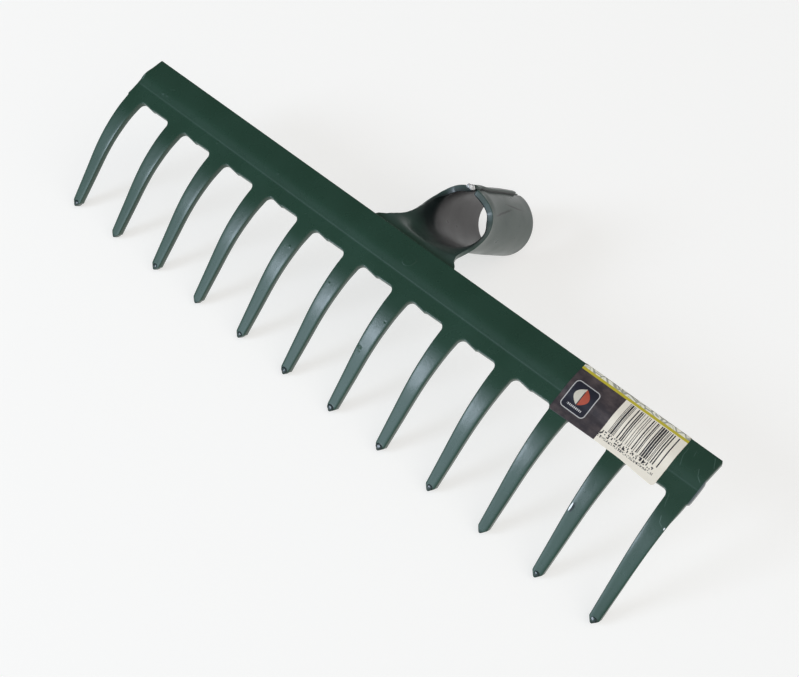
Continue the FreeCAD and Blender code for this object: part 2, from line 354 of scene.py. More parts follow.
def head_shape(flat):
    """Upper face of the head, with crowned tines and the small lumps of thick paint."""
    x, y = flat[:, 0], flat[:, 1]
    nearest = np.clip(np.round(x / PITCH + (TINES - 1) / 2), 0, TINES - 1)
    offset = np.abs(x - tine_centre(nearest))
    on_tine = ease((60 - y) / 10)
    z = face_height(y) - CROWN * on_tine * ease((offset - tine_half(y) + EDGE_FALL) / EDGE_FALL)
    for lump_x, lump_y, radius, rise in PAINT_LUMPS:
        away = ((x - lump_x) ** 2 + (y - lump_y) ** 2) / radius ** 2
        z = z + rise * np.exp(-away)
    return np.stack([x, y, z], 1)


def point_corners(centre, luck):
    """The chisel point of one tine, ground a little unevenly."""
    tip = luck.uniform(-0.25, 0.25)
    return [(centre - TINE_TIP_HALF, CHISEL + luck.uniform(-0.2, 0.3), 1.4),
            (centre + tip, TIP_Y, 0.9),
            (centre + TINE_TIP_HALF, CHISEL + luck.uniform(-0.2, 0.3), 1.4)]


def gap_corners(centre, luck):
    """Front edge of the bar after one tine, with the nick that the shears left in it."""
    nick = centre + PITCH * 0.45 + luck.uniform(-0.6, 0.8)
    drop = luck.uniform(0.6, 0.85)
    return [(centre + TINE_ROOT_HALF, ROOT_Y + 0.3, GAP_CORNER),
            (nick, ROOT_Y - drop, 0.8), (nick + 1.2, ROOT_Y - drop * 0.4, 0.8)]


def left_end_corners():
    """Left end of the bar, from its back corner to the small nub by the first tine."""
    back = [(-BAR_HALF + 0.6, BACK_Y, 0.5), (-BAR_HALF + 0.45, 79.5, 0), (-BAR_HALF, 76.6, 0),
            (-BAR_HALF, 73.6, 0), (-BAR_HALF + 0.3, 71.6, 0)]
    nub = [(-BAR_HALF + 0.2, ROOT_Y + 2.2, 0), (-BAR_HALF, ROOT_Y + 0.2, 0),
           (-BAR_HALF + 0.05, ROOT_Y - 0.5, 0)]
    return back, nub


def right_end_corners():
    """Right end of the bar, from the last tine's root to the back corner."""
    return [(BAR_HALF - 0.15, ROOT_Y + 0.5, 0), (BAR_HALF, ROOT_Y + 1.8, 0), (BAR_HALF, 71.8, 0),
            (BAR_HALF - 0.1, 73.4, 0), (BAR_HALF - 0.45, 74.6, 0), (BAR_HALF - 0.15, BACK_Y - 0.9, 0),
            (BAR_HALF - 0.8, BACK_Y, 0)]


def head_outline():
    """Corners of the whole pressing, anticlockwise from the left end of its front edge."""
    luck = random.Random(12)
    back, nub = left_end_corners()
    corners = nub + [(tine_centre(0) - TINE_ROOT_HALF + 0.1, ROOT_Y - 1.1, 0)]
    for index in range(TINES):
        centre = tine_centre(index)
        if index > 0:
            corners.append((centre - TINE_ROOT_HALF, ROOT_Y, GAP_CORNER))
        corners += point_corners(centre, luck)
        if index < TINES - 1:
            corners += gap_corners(centre, luck)
    corners.append((tine_centre(TINES - 1) + TINE_ROOT_HALF - 0.45, ROOT_Y - 0.3, 0))
    return corners + right_end_corners() + back


def head_lattice():
    """Flat points that fill the tines in rows of five, and the bar in a close grid."""
    points = []
    for index in range(TINES):
        for y in np.arange(1.6, ROOT_Y - 1, 1.1):
            reach = max(tine_half(y) - 1.15, 0.0)
            points += [(tine_centre(index) + reach * share, y) for share in (-1, -0.5, 0, 0.5, 1)]
    rows = list(np.arange(ROOT_Y - 0.6, 69.0, 0.8)) + list(np.arange(69.2, 70.3, 0.15))
    rows += list(np.arange(70.6, BACK_Y, 0.8))
    for row, y in enumerate(rows):
        points += [(x + 0.6 * (row % 2), y) for x in np.arange(-BAR_HALF, BAR_HALF, 1.2)]
    for lump_x, lump_y, radius, _ in PAINT_LUMPS:
        near = np.arange(-2.2, 2.3, 0.4) * radius
        points += [(lump_x + x + 0.07, lump_y + y + 0.05) for x in near for y in near]
    return np.array(points)


# ---- the socket ----
def head_underside(y, depth):
    """Drawing-frame points at a depth under the head's upper face."""
    y = np.asarray(y, float)
    slope = (face_height(y + 0.05) - face_height(y - 0.05)) / 0.1
    length = np.sqrt(1 + slope ** 2)
    return np.stack([np.zeros_like(y), y + depth * slope / length, face_height(y) - depth / length], -1)


def arc_points(start, heading, turn, radius):
    """Points of the bend that turns the sheet's middle line from the tube's slope to the bar's."""
    outward = np.cross(across, heading)
    pivot = start + outward * radius
    return [pivot + radius * (heading * math.sin(angle) - outward * math.cos(angle))
            for angle in np.linspace(0, turn, 12)[:-1]]


def socket_path():
    """Middle line of the sheet's front: up the tube, round the bend and under the bar."""
    under = head_underside(np.arange(BACK_Y, BACK_Y - NECK_REACH, -0.25), HEAD_SHEET + SOCKET_SHEET / 2)
    under_heading = (under[1] - under[0]) / np.linalg.norm(under[1] - under[0])
    throat = MOUTH + socket_back * THROAT - socket_up * (BORE_RADIUS + 0.2)
    knee = under[0] - under_heading * NECK_TURN
    heading = (knee - throat) / np.linalg.norm(knee - throat)
    bend_start = knee - heading * NECK_TURN
    turn = math.acos(heading @ under_heading)
    last = (bend_start - MOUTH) @ socket_back
    drop = smooth_line([(0, BORE_RADIUS + 1), (26, BORE_RADIUS + 1), (THROAT, BORE_RADIUS + 0.2),
                        (last, -(bend_start - MOUTH) @ socket_up)])
    backs = np.arange(0, last - 0.2, 0.5)
    tube = [MOUTH + socket_back * back - socket_up * drop(back) for back in backs]
    bend = arc_points(bend_start, heading, turn, NECK_TURN / math.tan(turn / 2))
    points = np.array(tube + bend + list(under))
    length = lengths_along(points)
    return length, points, length[len(tube) + len(bend)]


path_length, path_points, tongue_start = socket_path()
path_total = path_length[-1]
# How sharply the sheet is curved across, along the path.
curl = smooth_line([
    (0, 1 / 15.0), (26, 1 / 15.0), (38, 0.0675), (45, 0.0668), (48, 0.0650), (49.5, 0.0628),
    (51.9, 0.0584), (54.8, 0.0528), (58, 0.0450), (61.4, 0.0362), (65.2, 0.0262), (69.1, 0.0175),
    (72.6, 0.0100), (75.4, 0.0030), (tongue_start - 1, 0.0), (tongue_start + 1, 0.0), (path_total, 0.0),
])
# Edge of the sheet from the seam round the throat and down the neck: (distance across, from mouth).
THROAT_EDGE = [(45.6, 51.3), (42.6, 50.6), (38.0, 48.7), (33.6, 47.4), (29.9, 47.9)]
NECK_EDGE = [
    (26.6, 49.6), (24.2, 51.9), (21.9, 54.8), (20.35, 58.0), (19.3, 61.4), (18.7, 65.2), (18.8, 69.1),
    (19.4, 72.6), (20.8, 75.4), (23.4, 77.6), (NECK_HALF, 80.2),
]


def curl_at(a, s):
    """Curvature across the sheet; the crown by the seam stays rolled a little further than the sides."""
    crown = ease((np.abs(a) - 27) / 14) * ease((s - 43) / 6)
    return np.maximum(curl(s - 6.0 * crown) + 0.0010 * crown, 1e-5)


def path_at(s):
    """Places on the sheet's middle line, at distances from the mouth."""
    return along_path(s, path_length, path_points)


def edge_lift(a, s):
    """How far the sheet stands out of round: the lapped lip over the seam, and both ends at the mouth."""
    lap = ease((-a - 40.3) / 6.5) * (1 - 0.12 * ease((s - 42) / 8)) * ease((s - LIP_CUT + 0.8) / 0.7)
    flare = ease((np.abs(a) - 37) / 9) * np.maximum(1 - s / (LIP_CUT - 0.8), 0)
    return LAP_LIFT * lap + SEAM_FLARE * flare


def socket_shape(flat):
    """Rolled and flared sheet: flat points are (developed distance across, distance from mouth)."""
    a, s = flat[:, 0], flat[:, 1]
    reach = 0.6
    heading = path_at(s + reach) - path_at(s - reach)
    heading /= np.linalg.norm(heading, axis=1)[:, None]
    outward = np.cross(across, heading)
    bend = curl_at(a, s)
    angle = bend * a
    sine, cosine = np.sin(angle)[:, None], np.cos(angle)[:, None]
    inset = (1 - cosine) / bend[:, None]
    return (path_at(s) + across * sine / bend[:, None] - outward * inset
            + (outward * cosine + across * sine) * edge_lift(a, s)[:, None])


def rim_swell(flat):
    """The cut edge of the throat is upset a little thicker than the sheet."""
    a, s = np.abs(flat[:, 0]), flat[:, 1]
    return RIM_SWELL * ease((a - 24) / 6) * ease((47.5 - a) / 4) * ease((s - 43.5) / 4)


def socket_outline():
    """Corners of the flat socket sheet; its left side carries the lip and stops short of the mouth."""
    seam = math.pi * (BORE_RADIUS + SOCKET_SHEET / 2) + 0.2
    right = [(seam, 0, 0.8), (seam, 26, 0), (46.8, 40, 0)]
    right += [(a, s, 0.9 if k == 0 else 0) for k, (a, s) in enumerate(THROAT_EDGE)]
    right += [(a, s, 0) for a, s in NECK_EDGE]
    right.append((NECK_HALF, path_total, 1.5))
    left = [(-a, s, r) for a, s, r in reversed(right[3:])]
    left[-1] = (-46.4, 51.4, 0.5)
    left += [(-46.7, 40, 0), (-47.3, 26, 0), (-47.5, LIP_CUT, 0.33), (-46.0, LIP_CUT - 0.15, 0.5),
             (-46.3, 0, 0.8)]
    return right + left


def smoothed(loop):
    """Loop with its polyline corners relaxed."""
    return (np.roll(loop, 1, axis=0) + 2 * loop + np.roll(loop, -1, axis=0)) / 4


def socket_lattice():
    """Flat points that fill the socket sheet, closer where the lip is cut off."""
    points = [(x + 0.6 * (row % 2), y) for row, y in enumerate(np.arange(0.8, path_total, 1.0))
              for x in np.arange(-50, 50, 1.2)]
    points += [(x, y) for y in np.arange(LIP_CUT - 1.15, LIP_CUT + 0.5, 0.17)
               for x in np.arange(-46.1, -39.5, 0.55)]
    return np.array(points)


# ---- label and welds ----
def wrap_path():
    """Section of the paint under the label: over the bar, round its back edge and under it.

    Lengths count from LABEL_FRONT; the path starts ahead of it, where the label overhangs the bar.
    """
    step, ahead = 0.3, 7
    turns = np.linspace(0, math.pi / 2, 7)
    rounded = [(BACK_Y - HEAD_ROUND * (1 - math.cos(t)), HEAD_ROUND * (1 - math.sin(t)))
               for t in turns]
    steps = [(y, 0.0) for y in np.arange(LABEL_FRONT - ahead * step, BACK_Y - HEAD_ROUND, step)]
    steps += rounded[::-1] + [(y, HEAD_SHEET - depth) for y, depth in rounded]
    steps += [(y, HEAD_SHEET) for y in np.arange(BACK_Y - HEAD_ROUND - step, BACK_Y - LABEL_TUCK, -step)]
    points = np.array([head_underside(y, depth) for y, depth in steps])
    length = lengths_along(points)
    return length - length[ahead], points


wrap_length, wrap_points = wrap_path()


def label_shape(flat):
    """Flat label, (x, w), laid over the bar and round its back edge."""
    foot = along_path(flat[:, 1], wrap_length, wrap_points)
    foot[:, 0] = flat[:, 0]
    return foot


def label_outline():
    """Corners of the flat label, whose front edge is cut at a slant."""
    tucked = wrap_length[-1]
    front = [(LABEL_LEFT, -1.0, 0.6), (113.0, -0.8, 0), (124.0, -0.55, 0), (137.0, -0.6, 0),
             (147.0, -1.4, 0), (LABEL_RIGHT, -1.8, 1.7)]
    return front + [(LABEL_RIGHT, tucked, 0.6), (LABEL_LEFT, tucked, 0.6)]


def label_lattice():
    """Flat points that fill the label, closest where it bends round the bar's back edge."""
    rows = list(np.arange(-0.6, 21.6, 1.2)) + list(np.arange(22.0, 28.5, 0.2))
    rows += list(np.arange(29.0, wrap_length[-1], 1.5))
    return np.array([(x, w) for w in rows for x in np.arange(LABEL_LEFT + 0.5, LABEL_RIGHT, 2.4)])


def lumpy(points, centre, amount, seed):
    """Points pushed in and out from a centre by smooth pseudo-random waves."""
    luck = np.random.default_rng(seed)
    away = points - centre
    push = np.zeros(len(points))
    waves = 7
    for _ in range(waves):
        push += np.sin(away @ luck.normal(0, 2.2, 3) + luck.uniform(0, 6.3))
    return points + away * (amount * push / waves)[:, None]


def blob(name, material, centre, axes, sizes, amount, seed):
    """Rounded lump with three half sizes along three axes; amount is how uneven it is."""
    rows, columns = 14, 22
    t = np.repeat(math.pi * np.arange(1, rows) / rows, columns)
    u = np.tile(2 * math.pi * np.arange(columns) / columns, rows - 1)
    rings = np.stack([np.sin(t) * np.cos(u), np.sin(t) * np.sin(u), np.cos(t)], 1)
    ball = np.concatenate([[[0, 0, 1]], rings, [[0, 0, -1]]])
    points = centre + (ball * sizes) @ axes
    last = len(points) - 1
    faces = [[a, d, c, b] for a, b, c, d in ring_quads(1, last - columns, columns)]
    for j in range(columns):
        k = (j + 1) % columns
        faces += [[0, 1 + j, 1 + k], [last, last - columns + k, last - columns + j]]
    return new_mesh(name, lumpy(points, centre, amount, seed), faces, material)


def add_bar_weld(paint):
    """Rippled fillet weld along the front end of the neck's tongue, under the bar."""
    centre = head_underside(BACK_Y - NECK_REACH - 0.2, HEAD_SHEET + 0.75)
    columns = 14
    stations = np.arange(-BEAD_HALF, BEAD_HALF + 0.1, 0.3)
    x = np.repeat(stations, columns)
    u = np.tile(2 * math.pi * np.arange(columns) / columns, len(stations))
    taper = np.sqrt(np.maximum(1 - (np.abs(x) / (BEAD_HALF + 0.3)) ** 8, 0.05))
    radius = BEAD_RADIUS * taper * (1 + 0.07 * np.sin(4.2 * x + np.sin(0.7 * x)))
    points = centre + np.stack([x, radius * np.cos(u), radius * np.sin(u)], 1)
    last = len(points) - columns
    ends = [list(range(columns - 1, -1, -1)), list(range(last, last + columns))]
    under_weld = new_mesh("bar_weld", points, ring_quads(0, last, columns) + ends, paint)
    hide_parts("neck_weld")


def add_spot_weld(paint):
    """Faint ring that the spot weld leaves in the bar, as a plug through the sheet."""
    def top(flat):
        """Face of the bar with a raised ring, a low boss inside it and a dip round it."""
        away = flat - [SPOT_X, SPOT_Y]
        radius = np.linalg.norm(away, axis=1)
        angle = np.arctan2(away[:, 1], away[:, 0])
        ring = 0.10 * np.exp(-((radius - 2.9) / 0.4) ** 2) * (0.6 + 0.4 * np.sin(2 * angle + 1.0))
        boss = 0.08 * np.exp(-((radius - 0.9) / 0.5) ** 2)
        height = ring + boss - 0.12 * ease((radius - 3.3) / 0.5)
        return np.stack([flat[:, 0], flat[:, 1], face_height(flat[:, 1]) + 0.02 + height], 1)

    rim = [(SPOT_X + SPOT_RADIUS * math.cos(t), SPOT_Y + SPOT_RADIUS * math.sin(t))
           for t in np.linspace(0, 2 * math.pi, 60)[:-1]]
    spread = np.arange(-4, 4, 0.35)
    grid = np.array([(SPOT_X + x, SPOT_Y + y) for x in spread for y in spread])
    levels = (0.0, -SPOT_DEPTH)
    spot = pressed_sheet("spot_mark", paint, np.array(rim), grid, top, levels, 0.1, rings=2)
    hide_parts("spot_weld")


# ---- materials ----
GREEN_DARK = (0.0150, 0.0470, 0.0285, 1)
GREEN_LIGHT = (0.0190, 0.0550, 0.0350, 1)
DROP_GREEN_SHADED = (0.0070, 0.0180, 0.0160, 1)
SCRATCH_GREY = (0.16, 0.24, 0.21, 1)
END_FACE_LIGHT = (0.125, 0.140, 0.145, 1)

THIN_DARK = (0.045, 0.066, 0.058, 1)
THIN_LIGHT = (0.056, 0.078, 0.070, 1)
RUBBED = (0.010, 0.014, 0.012, 1)
BARE_MOUTH = (0.082, 0.076, 0.080, 1)
BARE_DEEP_SHADE = (0.030, 0.028, 0.032, 1)
TROUGH_SHADE = (0.009, 0.016, 0.016, 1)
NECK_RIDGE_HIGHLIGHT = (0.042, 0.077, 0.064, 1)
NECK_OUTER = (0.022, 0.060, 0.044, 1)
RIM_HIGHLIGHT = (0.075, 0.100, 0.095, 1)

WELD_DULL = (0.45, 0.45, 0.46, 1)
WELD_BRIGHT = (0.98, 0.98, 0.98, 1)

PAPER_DARK = (0.86, 0.765, 0.64, 1)
PAPER_LIGHT = (0.93, 0.835, 0.70, 1)
INK = (0.022, 0.020, 0.024, 1)
ORNAMENT_GROUND = (0.86, 0.81, 0.66, 1)
ORNAMENT_INK = (0.15, 0.15, 0.13, 1)
STRIPE_YELLOW = (0.56, 0.45, 0.035, 1)
PANEL_DARK = (0.034, 0.026, 0.030, 1)
PANEL_WORN = (0.100, 0.074, 0.072, 1)
BADGE_FIELD = (0.012, 0.012, 0.022, 1)
BADGE_RIM = (0.55, 0.52, 0.50, 1)
BADGE_DASHES = (0.62, 0.58, 0.56, 1)
LEAF_PALE = (0.62, 0.56, 0.46, 1)
LEAF_RED = (0.42, 0.07, 0.035, 1)
LEAF_VEIN = (0.02, 0.02, 0.03, 1)


class Nodes:
    """Small helper that builds the nodes of a material or of the world."""

    def __init__(self, owner, end):
        """Start with the owner's own node tree, whose node called end takes the results."""
        owner.use_nodes = True
        self.owner = owner
        self.tree = owner.node_tree
        self.end = self.tree.nodes[end]

    def feed(self, socket, value):
        """Link a node output to a socket, or set the socket to a plain value."""
        if isinstance(value, bpy.types.NodeSocket):
            self.tree.links.new(value, socket)
        else:
            socket.default_value = value

    def add(self, kind, **inputs):
        """New node of a kind, with its inputs fed."""
        node = self.tree.nodes.new(kind)
        for key, value in inputs.items():
            self.feed(node.inputs[key.replace("_", " ")], value)
        return node

    def set(self, **values):
        """Feed the end node's inputs."""
        for key, value in values.items():
            self.feed(self.end.inputs[key.replace("_", " ")], value)

    def flat(self):
        """Place on the flat sheet, in millimetres."""
        return self.add("ShaderNodeTexCoord").outputs["UV"]

    def split(self, vector):
        """The three parts of a vector."""
        return list(self.add("ShaderNodeSeparateXYZ", Vector=vector).outputs)

    def join(self, x, y):
        """Vector of two parts."""
        return self.add("ShaderNodeCombineXYZ", X=x, Y=y).outputs[0]

    def sum(self, kind, operation, values):
        """Math node of a kind, fed in order."""
        node = self.tree.nodes.new(kind)
        node.operation = operation
        for socket, value in zip(node.inputs, values):
            self.feed(socket, value)
        return node

    def math(self, operation, *values):
        """Result of a sum on one or two numbers."""
        return self.sum("ShaderNodeMath", operation, values).outputs["Value"]

    def vector(self, operation, *values):
        """Result of a sum on vectors; it is a number for a length or a dot product."""
        node = self.sum("ShaderNodeVectorMath", operation, values)
        return node.outputs["Value" if operation in ("LENGTH", "DOT_PRODUCT") else "Vector"]

    def both(self, first, *others):
        """Product of masks."""
        for other in others:
            first = self.math("MULTIPLY", first, other)
        return first

    def beyond(self, value, middle, half):
        """How far value lies outside middle - half to middle + half."""
        away = self.math("ABSOLUTE", self.math("SUBTRACT", value, middle))
        return self.math("MAXIMUM", self.math("SUBTRACT", away, half), 0.0)

    def within(self, value, low, high, soft=0.12):
        """Mask that is 1 where value lies between low and high."""
        return self.both(self.ramp(value, low - soft / 2, low + soft / 2),
                         self.ramp(value, high - soft / 2, high + soft / 2, 1.0, 0.0))

    def chance(self, x, y=0.0):
        """White noise per whole-number cell."""
        cell = self.join(self.math("FLOOR", x), self.math("FLOOR", y))
        return self.add("ShaderNodeTexWhiteNoise", Vector=cell).outputs["Value"]

    def noise(self, scale, detail=3.0, roughness=0.5, where=None):
        """Soft noise, over the piece's own space in metres unless another place is given."""
        where = where or self.add("ShaderNodeTexCoord").outputs["Object"]
        return self.add("ShaderNodeTexNoise", Vector=where, Scale=scale, Detail=detail,
                        Roughness=roughness).outputs["Fac"]

    def ramp(self, source, low, high, out_low=0.0, out_high=1.0):
        """Source spread evenly from low..high to out_low..out_high, and held at those ends."""
        return self.add("ShaderNodeMapRange", Value=source, From_Min=low, From_Max=high,
                        To_Min=out_low, To_Max=out_high).outputs["Result"]

    def mix(self, share, first, second):
        """Blend of two colours."""
        node = self.tree.nodes.new("ShaderNodeMix")
        node.data_type = "RGBA"
        for number, value in ((0, share), (6, first), (7, second)):
            self.feed(node.inputs[number], value)
        return node.outputs[2]

    def bump(self, height, strength, distance):
        """Roughen the surface by a height map."""
        node = self.add("ShaderNodeBump", Height=height, Strength=strength, Distance=distance)
        self.set(Normal=node.outputs["Normal"])


def new_material(name):
    """Nodes of a new material."""
    return Nodes(bpy.data.materials.new(name), "Principled BSDF")


# Light scratches in the head's paint, each from (x, y) to (x, y), with its strength.
SCRATCHES = [
    (164.8, 76.9, 165.9, 74.4, 0.35), (165.9, 74.4, 168.1, 72.7, 0.45),
    (155.9, 81.3, 156.1, 77.8, 0.22), (156.1, 77.8, 157.5, 73.8, 0.28),
    (159.2, 82.0, 159.6, 79.6, 0.18), (166.7, 84.0, 169.0, 80.4, 0.3), (161.2, 62.2, 163.2, 57.0, 0.22),
    (164.2, 53.4, 165.3, 50.8, 0.45), (165.3, 50.8, 167.0, 49.8, 0.4),
    (-169.6, 74.6, -168.9, 72.2, 1.0), (-152.0, 76.0, -149.6, 77.2, 0.15),
]

# Places where the paint has burst or chipped: x, y, half width, half length, colour. The dark oval beside
# the burst blister on the eleventh tine is a painted shadow; the white oval in that blister is its open
# inside and partly a painted highlight.
CHIPS_AND_PAINTED_LIGHT = [(133.1, 34.2, 0.75, 2.4, (0.006, 0.016, 0.014, 1)),
         (132.3, 34.0, 0.42, 2.1, (0.85, 0.87, 0.88, 1)),
         (168.3, 49.8, 0.3, 0.6, (0.72, 0.75, 0.75, 1))]

# Dark rubbed lines on the tube's outside: left, right, distance from the mouth, slope, half width.
RUBS = [(32.7, 36.8, 42.0, -4.1, 2.6), (37.4, 39.3, 12.8, 6.8, 4.2)]


def scratch(nodes, place, line, wander):
    """Mask of one thin wandering line between two places on the flat sheet."""
    start_x, start_y, end_x, end_y, strength = line
    length = math.hypot(end_x - start_x, end_y - start_y)
    way_x, way_y = (end_x - start_x) / length, (end_y - start_y) / length
    from_start = nodes.vector("SUBTRACT", place, (start_x, start_y, 0))
    along = nodes.vector("DOT_PRODUCT", from_start, (way_x, way_y, 0))
    aside = nodes.vector("DOT_PRODUCT", from_start, (way_y, -way_x, 0))
    away = nodes.math("ABSOLUTE", nodes.math("ADD", aside, wander))
    return nodes.both(nodes.ramp(away, 0.05, 0.20, strength, 0.0), nodes.within(along, 0.0, length, 0.6))


def patch(nodes, place, centre_x, centre_y, half_x, half_y):
    """Mask of one soft-edged oval on the flat sheet."""
    from_centre = nodes.vector("SUBTRACT", place, (centre_x, centre_y, 0))
    reach = nodes.vector("DIVIDE", from_centre, (half_x, half_y, 1))
    return nodes.ramp(nodes.vector("DOT_PRODUCT", reach, reach), 0.7, 1.1, 1.0, 0.0)


def drop_material():
    """The same enamel where it gathered in thick drops: glossier, and darker, partly as painted shade of
    the drops' rounded sides.
    """
    nodes = new_material("drop_paint")
    nodes.set(Base_Color=DROP_GREEN_SHADED, Metallic=0.0, Roughness=0.14)
    return nodes.owner


def all_scratches(nodes, place):
    """Mask of every light scratch in the head's paint."""
    wander = nodes.ramp(nodes.noise(200.0, 1.0), 0.3, 0.7, -0.2, 0.2)
    mask = 0.0
    for line in SCRATCHES:
        mask = nodes.math("MAXIMUM", mask, scratch(nodes, place, line, wander))
    return mask


def enamel(nodes):
    """Slow drift of the green over the dipped parts."""
    return nodes.ramp(nodes.noise(38.0, 4.0), 0.35, 0.68)


def gloss(nodes, low, high):
    """Patchy gloss and faint orange peel of dipped enamel."""
    nodes.set(Metallic=0.0, Roughness=nodes.ramp(nodes.noise(120.0, 5.0), 0.3, 0.7, low, high))
    nodes.bump(nodes.noise(700.0, 2.0), 0.05, 0.0004)


def head_material():
    """Dipped gloss enamel with light scratches and chips, a painted shadow and highlight at one burst
    blister, painted light on the bar's right end face and painted shade at the tips.
    """
    nodes = new_material("head_paint")
    place = nodes.flat()
    x, y, _ = nodes.split(place)
    colour = nodes.mix(enamel(nodes), GREEN_DARK, GREEN_LIGHT)
    colour = nodes.mix(all_scratches(nodes, place), colour, SCRATCH_GREY)
    # Chips, plus a painted shadow and a painted highlight at the burst blister.
    for *oval, tone in CHIPS_AND_PAINTED_LIGHT:
        colour = nodes.mix(patch(nodes, place, *oval), colour, tone)
    # Painted light: the bar's right end face is given a lighter grey where it catches the light.
    at_end = nodes.ramp(x, BAR_HALF - 0.75, BAR_HALF - 0.5)
    painted_end_light = nodes.both(at_end, nodes.within(y, 62.6, 75.0, 0.8))
    colour = nodes.mix(painted_end_light, colour, END_FACE_LIGHT)
    # Painted shade: the tips are darkened towards the drops' colour and their specular level is lowered,
    # for the shade of the rounded tips.
    tip_shade = nodes.ramp(y, 0.3, 2.0, 0.85, 0.0)
    colour = nodes.mix(tip_shade, colour, DROP_GREEN_SHADED)
    nodes.set(Base_Color=colour, Specular_IOR_Level=nodes.ramp(y, 0.4, 2.0, 0.2, 0.5))
    gloss(nodes, 0.24, 0.31)
    return nodes.owner


def inner_paint(nodes, a, s, edge, green):
    """Colour inside the tube and over the neck: bare at the mouth with painted shade deeper in, painted
    shade in the trough at the throat, a painted highlight over the neck's ridge, then green.
    """
    # Painted shade: the bare inside of the tube darkens deeper in.
    bare = nodes.mix(nodes.ramp(s, 33.0, 44.0), BARE_MOUTH, BARE_DEEP_SHADE)
    # Painted shade in the trough at the throat, starting sooner towards the sides.
    sooner = nodes.math("ADD", edge, nodes.ramp(a, 2.0, 16.0, 0.0, 3.5))
    shaded_trough = nodes.mix(nodes.ramp(sooner, 42.5, 48.0), bare, TROUGH_SHADE)
    # Painted highlight: a lighter green over the neck's ridge.
    neck = nodes.mix(nodes.ramp(edge, 54.0, 64.0), shaded_trough, NECK_RIDGE_HIGHLIGHT)
    return nodes.mix(nodes.ramp(edge, 74.0, 80.0), neck, green)


def socket_material():
    """The same paint on the neck, thin and greyish over the tube's outside, bare inside it with painted
    shade, and painted highlights over the neck's ridge and the throat's cut edge.
    """
    nodes = new_material("socket_paint")
    a, s, _ = nodes.split(nodes.flat())
    drift = enamel(nodes)
    green = nodes.mix(drift, GREEN_DARK, GREEN_LIGHT)
    thin = nodes.mix(drift, THIN_DARK, THIN_LIGHT)
    thin = nodes.mix(tube_rubs(nodes, a, s), thin, RUBBED)
    edge = nodes.math("ADD", s, nodes.ramp(nodes.noise(90.0, 3.0), 0.3, 0.7, -2.0, 2.0))
    inner = inner_paint(nodes, a, s, edge, green)
    outer = nodes.mix(nodes.ramp(edge, 46.0, 55.0), thin, NECK_OUTER)
    upper = nodes.add("ShaderNodeAttribute")
    upper.attribute_name = "upper"
    side = upper.outputs["Fac"]
    colour = nodes.mix(side, inner, outer)
    # Painted highlight: the cut edge of the throat is coloured a lighter grey-green.
    on_edge = nodes.within(side, 0.12, 0.88, 0.1)
    rim = nodes.both(on_edge, nodes.ramp(s, 38.0, 42.0), nodes.ramp(a, 16.0, 34.0))
    colour = nodes.mix(rim, colour, RIM_HIGHLIGHT)
    nodes.set(Base_Color=colour)
    gloss(nodes, 0.27, 0.38)
    return nodes.owner


def tube_rubs(nodes, a, s):
    """Mask of two dark rubbed lines and a few specks on the tube's outside."""
    wave = nodes.ramp(nodes.noise(300.0, 2.0), 0.3, 0.7, -0.5, 0.5)
    mask = nodes.ramp(nodes.noise(420.0, 1.0), 0.76, 0.80, 0.0, 0.6)
    for left, right, start, slope, width in RUBS:
        line = nodes.math("ADD", nodes.math("MULTIPLY", nodes.math("SUBTRACT", a, left), slope), start)
        away = nodes.math("ABSOLUTE", nodes.math("ADD", nodes.math("SUBTRACT", s, line), wave))
        near = nodes.ramp(away, width * 0.4, width, 1.0, 0.0)
        mask = nodes.math("MAXIMUM", mask, nodes.both(near, nodes.within(a, left, right, 1.0)))
    return mask


def metal_material():
    """Bare weld metal, bright and grainy."""
    nodes = new_material("weld_bright")
    grain = nodes.ramp(nodes.noise(900.0, 4.0), 0.4, 0.6)
    nodes.set(Base_Color=nodes.mix(grain, WELD_DULL, WELD_BRIGHT), Metallic=0.45,
              Roughness=nodes.ramp(nodes.noise(1500.0), 0.3, 0.7, 0.2, 0.45))
    nodes.bump(nodes.noise(1300.0, 4.0), 0.6, 0.0006)
    return nodes.owner


def bar_code(nodes, x, w):
    """Mask of random bars that can't be scanned; the row of figures cuts them off in front."""
    module = nodes.math("DIVIDE", nodes.math("SUBTRACT", x, CODE_LEFT), CODE_MODULE)
    open_cell = nodes.math("GREATER_THAN", nodes.math("FRACT", nodes.math("DIVIDE", module, 4.0)), 0.25)
    dark = nodes.math("GREATER_THAN", nodes.chance(module), 0.42)
    return nodes.both(dark, open_cell, nodes.within(x, CODE_LEFT, CODE_RIGHT),
                      nodes.within(w, CODE_FRONT, CODE_BACK))


def ornament_strip(nodes, x, w):
    """Colour of the curls printed along the label's back edge."""
    place = nodes.join(nodes.math("MULTIPLY", x, 0.5), w)
    curls = nodes.add("ShaderNodeTexVoronoi", Vector=place, Scale=0.42)
    curls.feature = "DISTANCE_TO_EDGE"
    strokes = nodes.ramp(curls.outputs["Distance"], 0.02, 0.09, 0.75, 0.0)
    waves = nodes.math("SINE", nodes.math("MULTIPLY", curls.outputs["Distance"], 30.0))
    rings = nodes.ramp(waves, 0.5, 0.9, 0.0, 0.55)
    return nodes.mix(nodes.math("MAXIMUM", strokes, rings), ORNAMENT_GROUND, ORNAMENT_INK)


